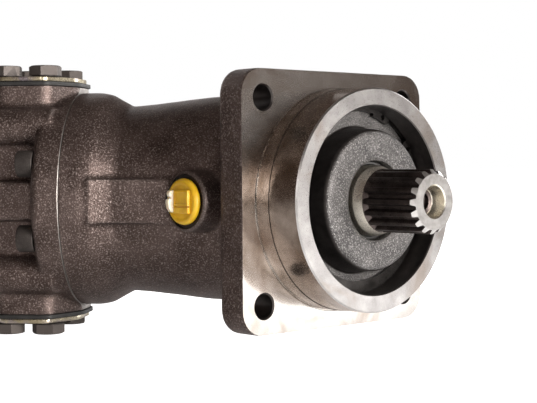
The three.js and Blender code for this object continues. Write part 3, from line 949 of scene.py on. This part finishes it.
def buildPortPlate(size):
    joint, back, face = size["joint"], size["rearFace"], size["portFace"]
    collar = turned([
        (joint - 2, 0), (joint - 2, collarRadius), (124, collarRadius, 1), (126.2, 62, 1), (128, 56),
        (128, 0),
    ])
    middle = block((118, back + 1.5), (-50, 50), (-11.5, 11.5), 1.5)
    core = block((118, back + 1.5), (-40, 40), (-52, 52), 3)
    pads = plate(portOutline(0.1), -face - 1.5, face + 1.5, 5)
    across, along, thick = size["columns"]
    columns = [
        moved(rod(118, back + 1.5, thick, 48), at(0, y, z))
        for y in (-across, across)
        for z in (-along, along)
    ]
    cast = casting([collar, middle, core, pads, *columns], 1.25, 4)

    jointCut = turned([
        (60, 0), (60, 90), (joint + 0.35, 90), (joint + 0.35, 63.95), (joint, 63.6), (joint, 0),
    ], 128)
    backCut = block((back, back + 20), (-90, 90), (-90, 90))
    padCuts = [block((90, back + 30), (-90, 90), ends) for ends in ((face, face + 20), (-face - 20, -face))]
    seat = turned([(109, 0), (109, 38.4), (112, 38.4), (112, 0)], 96)
    sealGroove = turned([(109, 47), (109, 50.2), (111.8, 50.2), (111.8, 47)], 96, closed=True)
    passages = [kidney(side, 5.5, 109.5, size["portCentre"]) for side in (1, -1)]
    openings = []
    for side in (1, -1):
        port = moved(turned([
            (20, 0), (20, size["portRadius"]), (face - 0.8, size["portRadius"]),
            (face + 0.4, size["portRadius"] + 1.2), (face + 2, size["portRadius"] + 1.2), (face + 2, 0),
        ], 64), upright(1))
        openings.append(moved(port, at(size["portCentre"]) @ turnedRound(0 if side > 0 else math.pi)))
    boltHoles = []
    for x, y in portBolts:
        for side in (1, -1):
            hole = moved(rod(50, face + 2, screwThread, 24), upright(side))
            boltHoles.append(moved(hole, at(x, y)))
    narrow, pocket, wide = size["screwHole"], size["pocket"], size["pocketRadius"]
    screwHoles = []
    for i, degrees in enumerate(screwAngles):
        if i in shortScrews:
            hole = turned([
                (109, 0), (109, narrow), (pocket, narrow), (pocket, wide), (back + 2, wide), (back + 2, 0),
            ], 48)
        else:
            hole = rod(109, back + 2, narrow, 32)
        screwHoles.append(moved(hole, at(0, *onCircle(screwCircle, degrees))))
    machined = [jointCut, backCut, *padCuts, seat, sealGroove, gathered(openings), gathered(boltHoles),
                gathered(screwHoles), gathered(passages)]
    return toRear(worked(cast, [inFinish(tool, 1) for tool in machined]))


addPiece(
    buildPortPlate(portPlate), "port_plate", ["castHousing", "machinedRear"], kind="casting",
)
print("port plate cast and machined")

# screws and bolts

socketHead = {
    "thread": 4.9,
    "threadDepth": 0.7,
    "threadStart": 94,
    "pitch": 1.5,
    "headRadius": 7.75,
    "headHeight": 10,
    "socketFlats": 8,
    "socketDepth": 5,
    "lift": 0.3,
    "twist": 0.7,
}
hexHead = {"flats": 17, "height": 6.4, "thread": 4.9, "threadDepth": 0.7, "length": 20, "pitch": 1.5}


def hexPrism(flats, x0, x1):
    bm = bmesh.new()
    bmesh.ops.create_cone(
        bm, cap_ends=True, segments=6, radius1=flats / math.sqrt(3) * mm,
        radius2=flats / math.sqrt(3) * mm, depth=(x1 - x0) * mm,
    )
    return moved(bm, at((x0 + x1) / 2) @ Matrix.Rotation(math.pi / 2, 4, "Y"))


def buildSocketScrew(seat, size):
    start, thread, top = size["threadStart"], size["thread"], seat + size["headHeight"]
    grooves = threadGrooves(start + 1.5, 10, size["pitch"], thread, thread - size["threadDepth"])
    body = turned([
        (start, 0), (start, thread - 0.9), (start + 0.9, thread), *grooves, (seat, thread),
        (seat, size["headRadius"], 0.5), (top, size["headRadius"], 0.9), (top, 0),
    ], 48)
    socket = hexPrism(size["socketFlats"], top - size["socketDepth"], top + 1)
    mouth = turned([(top - 0.7, 0), (top - 0.7, 4.0), (top + 0.2, 5.1), (top + 1, 5.1), (top + 1, 0)], 48)
    tip = turned([(top - 6.4, 0), (top - 4.9, 4.0), (top - 4.6, 4.0), (top - 4.6, 0)], 24)
    return worked(body, [socket, mouth, tip])


for i, degrees in enumerate(screwAngles):
    seat = portPlate["pocket" if i in shortScrews else "rearFace"] + socketHead["lift"]
    spot = at(0, *onCircle(screwCircle, degrees)) @ turnedRound(i * socketHead["twist"])
    screw = moved(buildSocketScrew(seat, socketHead), spot)
    addPiece(toRear(screw), f"port_plate_screw_{i + 1}", ["boltSteel"])


def buildHexBolt(size):
    height, reach = size["height"], size["flats"] / math.sqrt(3)
    head = worked(hexPrism(size["flats"], 0, height), [turned([
        (-1, 0), (-1, 8.2), (0.45, 8.2), (0.45, reach + 0.5), (height - 1.0, reach + 0.3),
        (height, reach - 1.7), (height + 0.01, reach - 1.7), (height + 0.01, 0),
    ], 96)], "INTERSECT")
    dish = turned([
        (height - 0.25, 0), (height - 0.25, 5.2), (height + 0.1, 5.7), (height + 1, 5.7), (height + 1, 0),
    ], 48)
    start, thread = -size["length"], size["thread"]
    grooves = threadGrooves(start + 1.2, 10, size["pitch"], thread, thread - size["threadDepth"])
    shank = turned([(start, 0), (start, thread - 0.8), *grooves, (0.5, thread), (0.5, 0)], 32)
    head = worked(head, [dish])
    return worked(head, [shank], "UNION")


def portSheet(grow, z0, z1, opening, corner, edge):
    sheet = plate(portOutline(grow), z0, z1, corner, edge, 8)
    clear = portPlate["screwHole"]
    holes = [moved(rod(z0 - 1, z1 + 1, clear, 32), at(x, y) @ upright(1)) for x, y in portBolts]
    if opening:
        holes.append(moved(rod(z0 - 1, z1 + 1, opening, 64), at(portPlate["portCentre"]) @ upright(1)))
    return worked(sheet, [gathered(holes)])


portStack = {
    "gasket": (67.3, 69.7),
    "cover": (70.0, 72.6),
    "boltSeat": 72.9,
    "twists": (0.35, 0.0, 0.9, 0.15),
    "lowerTwist": 0.5,
}
boltPattern = buildHexBolt(hexHead)
for port, side in (("a", 1), ("b", -1)):
    def level(pair):
        return pair if side > 0 else (-pair[1], -pair[0])

    gasket = portSheet(1, *level(portStack["gasket"]), 13.5, 3, 0.3)
    addPiece(toRear(gasket), f"port_{port}_gasket", ["rubber"])
    cover = portSheet(-1.5, *level(portStack["cover"]), 0, 3, 0.35)
    addPiece(toRear(cover), f"port_{port}_cover", ["zincPlate"])
    for i, (x, y) in enumerate(portBolts):
        twist = turnedRound(portStack["twists"][i] + (0 if side > 0 else portStack["lowerTwist"]))
        lift = at(x, y, side * portStack["boltSeat"]) @ upright(side)
        bolt = toRear(moved(boltPattern.copy(), lift @ twist))
        addPiece(bolt, f"port_{port}_bolt_{i + 1}", ["boltSteel"])
boltPattern.free()
print("screws, bolts and port covers done")

# seals

sealRings = {
    "joint": {"x": 110.75, "radius": 48.6, "wire": 0.95},
    "cover": {"x": 11, "radius": 50.7, "wire": 1.2},
}


def sealRing(x, radius, wire, steps=96):
    bm = bmesh.new()
    bmesh.ops.create_circle(bm, segments=16, radius=wire * mm)
    bmesh.ops.translate(bm, vec=(x * mm, radius * mm, 0), verts=bm.verts)
    spun(bm, steps)
    return closedUp(bm)


jointSeal = toRear(sealRing(**sealRings["joint"]))
addPiece(jointSeal, "joint_seal", ["rubber"])
addPiece(sealRing(**sealRings["cover"]), "cover_seal", ["rubber"])
addPiece(turned([
    (15, 20.6), (15, 28.8, 0.4), (24, 28.8, 0.6), (24, 22, 0.3), (25.6, 21.4, 0.2), (25.6, 20.1, 0.2),
    (22.6, 20.9, 0.3), (21.5, 25.5, 0.6), (18, 25.5, 0.6), (16.5, 19.95, 0.2),
], 96, closed=True), "shaft_seal", ["rubber"])

# drain plugs

drainPlug = {
    "rim": 12.9,
    "rimHeight": 4,
    "thread": (8.9, 8.2),
    "seatDepth": 0.9,
    "block": (-6.8, 8.2, 6.5),
    "blockTop": 5.8,
    "grip": [
        (4.6, -6.2), (7.4, -5.6), (8.9, -3.4), (9.5, -0.4), (9.3, 1.3), (6.9, 2.0),
        (8.2, 3.2), (8.8, 4.6), (7.9, 6.2), (4.6, 6.4),
    ],
}


def buildDrainPlug(size):
    rim = size["rim"]
    crest, root = size["thread"]
    grooves = threadGrooves(-10.6, 6, 1.6, crest, root)
    body = turned([
        (-12, 0), (-12, 7.9), (-11.2, 8.8), *grooves, (-0.4, crest), (0, 9.4), (0, rim, 0.8),
        (3.4, rim, 1.6), (size["rimHeight"], rim - 2.2, 0.6), (size["rimHeight"] - 0.5, rim - 3.4, 0.5),
        (size["rimHeight"] - 0.5, 0),
    ], 64)
    left, right, wide = size["block"]
    top = size["blockTop"]
    base = block((2.6, top), (left, right), (-wide, wide), 0.7)
    grip = plate(size["grip"], -left - 2.9, -left - 0.1, 0, 0.5)
    grip = inFinish(moved(grip, Matrix.Rotation(math.pi / 2, 4, "X")), 1)
    dip = block((top - 0.9, top + 5), (left + 4, right - 1.2), (-1.2, wide - 1.1), 0.4)
    slot = block((top - 1.4, top + 5), (left + 3.2, right + 1), (-3.2, -2.2), 0.1)
    whole = worked(body, [base, grip], "UNION")
    return worked(whole, [dip, slot])


for place, side in plugSides.items():
    seat = housing["plugFaces"][place] - drainPlug["seatDepth"]
    stand = at(housing["plugX"], side * seat) @ sideways(side)
    plug = moved(buildDrainPlug(drainPlug), stand)
    addPiece(plug, "drain_plug_" + place, ["plugPlastic", "plugGrip"])
print("seals and drain plugs done")

# shaft seal cover and its retaining ring

sealCover = {"bore": 22.3, "back": 8.2, "front": 31, "boss": 40.5, "outer": 52.05}


def buildSealCover(size):
    bore, back, front, outer = size["bore"], size["back"], size["front"], size["outer"]
    bm = turned([
        (back, 29), (back, outer, 0.4), (9.6, outer), (9.6, 49.4), (12.4, 49.4), (12.4, outer),
        (14, outer, 0.3), (14, size["boss"] + 0.1, 1.4), (29.2, 39.2, 1.6), (front - 0.2, 36.6, 1.2),
        (front, bore + 1.2, 0.4), (front - 0.6, bore), (24.3, bore), (24.3, 29),
    ], 144, closed=True)
    cast, machined, side = range(3)
    for face in bm.faces:
        x, reach = placeOf(face)
        face.material_index = machined
        if x > 13.9 and reach > bore + 0.3:
            # the boss's side takes the near-black finish: painted shade of the recess
            face.material_index = side if 14.1 < x < 29.4 and reach < 41.5 else cast
    return bm


addPiece(buildSealCover(sealCover), "seal_cover", ["castCover", "turnedCover", "paintedShadeCoverSide"])

retainingRing = {
    "outer": 54.6,
    "hole": 47.7,
    "offCentre": 2.7,
    "depth": (14.4, 16.8),
    "gap": (34, 66),
    "lug": 48.6,
    "lugReach": (-6, 9),
    "eyes": 50.6,
    "eye": 1.6,
}


def buildRetainingRing(size):
    x0, x1 = size["depth"]
    first, last = size["gap"]
    rim = sector(x0, x1, 40, size["outer"], math.radians(last - 5), math.radians(first + 365), 120)
    y, z = onCircle(size["offCentre"], (first + last) / 2)
    hole = moved(rod(x0 - 1, x1 + 1, size["hole"], 160), at(0, y, z))
    band = worked(rim, [hole])
    lugs, eyes = [], []
    for degrees in size["gap"]:
        y, z = onCircle(size["eyes"], degrees)
        eyes.append(moved(rod(x0 - 1, x1 + 1, size["eye"], 24), at(0, y, z)))
        away = 1 if degrees == last else -1
        start, end = sorted(math.radians(degrees + reach * away) for reach in size["lugReach"])
        lugs.append(sector(x0, x1, size["lug"], size["outer"], start, end, 12, 1.2))
    bm = worked(band, lugs, "UNION")
    bm = worked(bm, [gathered(eyes)])
    bmesh.ops.dissolve_limit(bm, angle_limit=math.radians(0.5), verts=bm.verts, edges=bm.edges)
    return bm


addPiece(buildRetainingRing(retainingRing), "retaining_ring", ["springSteel"], 20)
addPiece(ring(6.2, 8, 40, 46.8, 0.2), "bearing_shim", ["brightSteel"])

# drive shaft

driveShaft = {
    "teeth": 16,
    "root": 15.1,
    "tip": 17.3,
    "rootShare": 0.34,
    "tipShare": 0.19,
    "tipSoft": 0.35,
    "rootSoft": 0.5,
    "splineStart": 35.4,
    "end": 72.3,
    "journal": 22.3,
    "sealSeat": 19.6,
    "flange": 44.3,
    "socket": 11.6,
    "pinSocket": 10.6,
}
ballAngles = [i / layout["pistons"] * fullTurn for i in range(layout["pistons"])]


def onBallCircle(angle):
    return layout["ballCircle"] * math.cos(angle), layout["ballCircle"] * math.sin(angle)


def buildSpline(size):
    bm = bmesh.new()
    pitch = fullTurn / size["teeth"]
    tooth = [
        (size["root"], -size["rootShare"]), (size["tip"], -size["tipShare"]), (size["tip"], 0),
        (size["tip"], size["tipShare"]), (size["root"], size["rootShare"]), (size["root"], 0.5),
        (size["root"], 1 - size["rootShare"]),
    ]
    start = size["splineStart"]
    verts = []
    for radius, share in tooth:
        angle = share * pitch
        verts.append(bm.verts.new((start * mm, radius * math.cos(angle) * mm, radius * math.sin(angle) * mm)))
    for a, b in zip(verts, verts[1:]):
        bm.edges.new((a, b))
    for corner, soft in ((1, size["tipSoft"]), (3, size["tipSoft"]), (4, size["rootSoft"])):
        bevelled(bm, [verts[corner]], soft, 2)
    spun(bm, size["teeth"], merge=False, copies=True)
    bmesh.ops.remove_doubles(bm, verts=bm.verts, dist=5e-6)
    bmesh.ops.contextual_create(bm, geom=bm.edges[:])
    return drawnOut(bm, ((size["end"] + 1 - start) * mm, 0, 0))


def buildDriveShaft(size):
    end, flange, journal, seat = size["end"], size["flange"], size["journal"], size["sealSeat"]
    blank = turned([
        (-60, 0), (-60, flange, 0.6), (-45, flange, 1.0), (-45, 31, 1.0), (-42, 31, 0.4),
        (-42, journal, 0.3), (6, journal, 0.6), (8, seat, 0.8), (30.6, seat, 0.5), (36.2, 17.5, 0.3),
        (38.4, 15.0, 0.6), (41, 14.9), (41, 0),
    ], 128)
    endShape = turned([(32, 0), (32, 20), (end - 2.6, 17.5), (end, 14.9), (end, 0)], 96)
    # the spline teeth take the near-black finish (slot 1): painted shade and painted dark reflection
    spline = worked(inFinish(buildSpline(size), 1), [inFinish(endShape, 2)], "INTERSECT")
    threads = threadGrooves(end - 24, 9, 1.5, 5.1, 5.7, 0.5)
    centreHole = turned([
        (end - 28, 0), (end - 26, 5.1), *threads, (end - 8.5, 5.1), (end - 8, 6.9), (end - 7.6, 7.2),
        (end - 0.6, 8.7), (end + 0.4, 9.6), (end + 1, 9.6), (end + 1, 0),
    ], 64)
    pivot = layout["pivotX"]
    sockets = [globe(size["socket"], (pivot, *onBallCircle(angle)), 40) for angle in ballAngles]
    sockets.append(globe(size["pinSocket"], (pivot, 0, 0), 40))
    # faces beyond x 36.1 take the near-black spline finish: painted shade
    for face in blank.faces:
        face.material_index = 1 if placeOf(face)[0] > 36.1 else 0
    whole = worked(blank, [spline], "UNION")
    # the centre hole's thread takes the near-black finish: painted shade inside the hole
    for face in centreHole.faces:
        face.material_index = 0 if placeOf(face)[1] > 6.8 else 1
    return worked(whole, [centreHole, *sockets])


shaftLooks = ["groundSteel", "splineSteelPaintedShade", "endSteel"]
addPiece(buildDriveShaft(driveShaft), "drive_shaft", shaftLooks, 20)


ballPlate = {"back": -63.8, "front": -60.3, "ballHole": 11, "pinHole": 10}


def buildBallPlate(size):
    back, front, rim = size["back"], size["front"], driveShaft["flange"]
    sheet = turned([(back, 0), (back, rim, 0.4), (front, rim, 0.4), (front, 0)], 96)

    def taper(radius):
        return turned([(-65, 0), (-65, radius - 0.2), (-59, radius + 0.6), (-59, 0)], 48)

    holes = [moved(taper(size["ballHole"]), at(0, *onBallCircle(angle))) for angle in ballAngles]
    return worked(sheet, [gathered(holes), taper(size["pinHole"])])


addPiece(buildBallPlate(ballPlate), "retaining_plate", ["brightSteel"])
print("seal cover, ring and shaft done")

# bearings

bearing = {
    "width": 23,
    "start": 4,
    "length": 15.5,
    "tilt": 0.25,
    "big": 5,
    "small": 4.1,
    "circle": 35.4,
    "rollers": 11,
    "cage": 2.6,
    "middle": -18,
    "bore": 22.45,
    "outside": 46.85,
}


def onTrack(size, share, out):
    along = share * size["length"]
    radius = size["big"] + (size["small"] - size["big"]) * share
    reach = math.copysign(radius + abs(out), out)
    return (
        size["start"] + along * math.cos(size["tilt"]) + reach * math.sin(size["tilt"]),
        size["circle"] - along * math.sin(size["tilt"]) + reach * math.cos(size["tilt"]),
    )


def bearingCup(size):
    first, last = onTrack(size, -0.05, 0.3), onTrack(size, 1.12, 0.3)
    return turned([
        (first[0], first[1], 0.4), (first[0], size["outside"], 0.8), (size["width"], size["outside"], 0.8),
        (size["width"], last[1], 0.4),
    ], 96, closed=True)


def bearingCone(size):
    first, last = onTrack(size, 0, -0.3), onTrack(size, 1.08, -0.3)
    return turned([
        (0, size["bore"], 0.5), (0, 33, 0.5), (first[0] - 0.6, 33, 0.4), (first[0] - 0.6, first[1]), last,
        (last[0], size["bore"], 0.4),
    ], 96, closed=True)


def bearingRollers(size):
    first, last = onTrack(size, 0.06, 0), onTrack(size, 0.94, 0)
    half = size["cage"] / 2
    cage = turned([
        (first[0], first[1] - half, 0.3), (first[0], first[1] + half, 0.3), (last[0], last[1] + half, 0.3),
        (last[0], last[1] - half, 0.3),
    ], 96, closed=True)
    rollers = []
    for i in range(size["rollers"]):
        roller = turned([
            (0, 0), (0, size["big"], 0.5), (size["length"], size["small"], 0.5), (size["length"], 0),
        ], 32)
        tilt = at(size["start"], size["circle"]) @ Matrix.Rotation(-size["tilt"], 4, "Z")
        rollers.append(moved(moved(roller, tilt), turnedRound(i / size["rollers"] * fullTurn)))
    return worked(cage, [inFinish(gathered(rollers), 1)], "UNION")


for place, turnRound in (("front", 0), ("rear", math.pi)):
    spot = at(bearing["middle"] + (-1 if turnRound else 1)) @ Matrix.Rotation(turnRound, 4, "Y")
    for part, build, looks in (
        ("cup", bearingCup, ["brightSteel"]),
        ("cone", bearingCone, ["brightSteel"]),
        ("rollers", bearingRollers, ["springSteel", "brightSteel"]),
    ):
        addPiece(moved(build(bearing), spot), f"{place}_bearing_{part}", looks)
spacer = ring(-18.8, -17.2, bearing["bore"], 28, 0.3)
addPiece(spacer, "bearing_spacer", ["brightSteel"])
print("bearings done")

# cylinder barrel, its pin and its control plate

barrel = {
    "front": 36,
    "back": 104,
    "radius": 40,
    "faceRadius": 38,
    "bore": 8.5,
    "boreBottom": 91,
    "sphere": 150,
    "pin": 7,
    "pinBall": 10,
}
spring = {"first": 72.2, "last": 91.6, "coil": 5.2, "wire": 1.0, "turns": 5}


def controlFace(radius, offset):
    centre = barrel["back"] + math.sqrt(barrel["sphere"] ** 2 - barrel["faceRadius"] ** 2)
    return centre - math.sqrt(barrel["sphere"] ** 2 - radius**2) + offset, radius


def buildBarrel(size):
    front, back, wide = size["front"], size["back"], size["radius"]
    bored, bottom = size["bore"], size["boreBottom"]
    blank = turned([
        (front, 0), (front, wide, 1), (back - 3, wide, 0.6), (back, 38.4),
        *[controlFace(radius, 0) for radius in (38, 32, 26, 20, 13, 6, 0)],
    ], 128)
    bores = []
    for angle in ballAngles:
        spot = at(0, -boreCircle * math.cos(angle), boreCircle * math.sin(angle))
        bore = turned([
            (front - 1, 0), (front - 1, bored + 1), (front + 0.6, bored), (bottom, bored), (bottom + 1, 4.6),
            (back + 1, 4.6), (back + 1, 0),
        ], 40)
        bores.append(moved(bore, spot))
    pinBore = turned([(35, 0), (35, 8), (36.6, 7.25), (93, 7.25), (93, 3), (110, 3), (110, 0)], 40)
    return toRear(worked(blank, [gathered(bores), pinBore]))


def buildPin(size):
    cap = []
    start = math.asin(4.4 / size["pinBall"])
    for i in range(13):
        angle = math.pi - i / 12 * (math.pi - start)
        cap.append((size["pinBall"] * math.cos(angle), size["pinBall"] * math.sin(angle) if i else 0))
    return toRear(turned([
        *cap, (15, 4.4, 1), (18, 6.4, 0.8), (38, size["pin"], 1), (70.5, size["pin"], 0.6), (70.5, 0),
    ], 64))


def buildSpring(first, last, coil, wire, turns):
    bm = bmesh.new()
    steps = turns * 24
    bmesh.ops.create_circle(bm, cap_ends=False, segments=12, radius=wire * mm)
    bmesh.ops.translate(bm, vec=(first * mm, coil * mm, 0), verts=bm.verts)
    spun(bm, steps, turns * fullTurn, merge=False, rise=(last - first) * mm / steps)
    bmesh.ops.holes_fill(bm, edges=bm.edges[:], sides=0)
    return toRear(closedUp(bm))


def buildControlPlate():
    blank = turned([
        *[controlFace(radius, 0.3) for radius in (0, 6, 13, 20, 26, 32, 37.6)], (106, 38, 0.3),
        (111.7, 38, 0.5), (111.7, 0),
    ], 128)
    slots = [kidney(side, 4.6, 90, 115) for side in (1, -1)]
    return toRear(worked(blank, [gathered(slots), rod(90, 115, 3, 32)]))


addPiece(buildBarrel(barrel), "cylinder_barrel", ["brightSteel"])
addPiece(buildPin(barrel), "centre_pin", ["brightSteel"])
addPiece(buildSpring(**spring), "centre_spring", ["springSteel"])
addPiece(buildControlPlate(), "control_plate", ["bronze"])

# pistons

piston = {"ball": 11, "ballHole": 1.0, "rodHole": 1.2, "crown": 8.25, "length": 65}


def buildRod(size):
    crown = []
    for i in range(5):
        x = -4.2 + i * 2.1
        radius = math.sqrt(size["crown"] ** 2 - x**2)
        crown.append((size["length"] + x, radius))
    foot, end = size["ball"] + 0.3, size["length"]
    body = turned([(foot, 0), (foot, 4.6), (17, 5.2, 2), (end - 7, 7.2, 1), *crown, (end + 4.2, 0)], 48)
    oilHole = rod(size["ball"], end + 6, size["rodHole"], 16)
    rings = [
        turned([(x, 7.6), (x, 9.5), (x + 0.35, 9.5), (x + 0.35, 7.6)], 48, closed=True)
        for x in (end - 1.2, end + 0.9)
    ]
    return worked(body, [oilHole, gathered(rings)])


offset = layout["ballCircle"] - boreCircle  # what a piston leans over, from its ball to its crown
reach = math.sqrt(piston["length"] ** 2 - offset**2)
for i, angle in enumerate(ballAngles):
    y, z = onBallCircle(angle)
    centre = (layout["pivotX"], y, z)
    oilHole = moved(rod(-12, 12, piston["ballHole"], 16), at(*centre))
    ball = worked(globe(piston["ball"], centre, 48), [oilHole])
    addPiece(ball, f"piston_ball_{i + 1}", ["brightSteel"])
    lean = Vector((reach, -offset * math.cos(angle), -offset * math.sin(angle))).normalized()
    swing = Vector((1, 0, 0)).rotation_difference(lean).to_matrix().to_4x4()
    foot = at(-y * math.sin(bendAngle), -y * math.cos(bendAngle), z)
    rodPiece = toRear(moved(buildRod(piston), foot @ swing))
    addPiece(rodPiece, f"piston_{i + 1}", ["brightSteel"])
for material in scratchSlots:
    bpy.data.materials.remove(material)
print("barrel and pistons done")
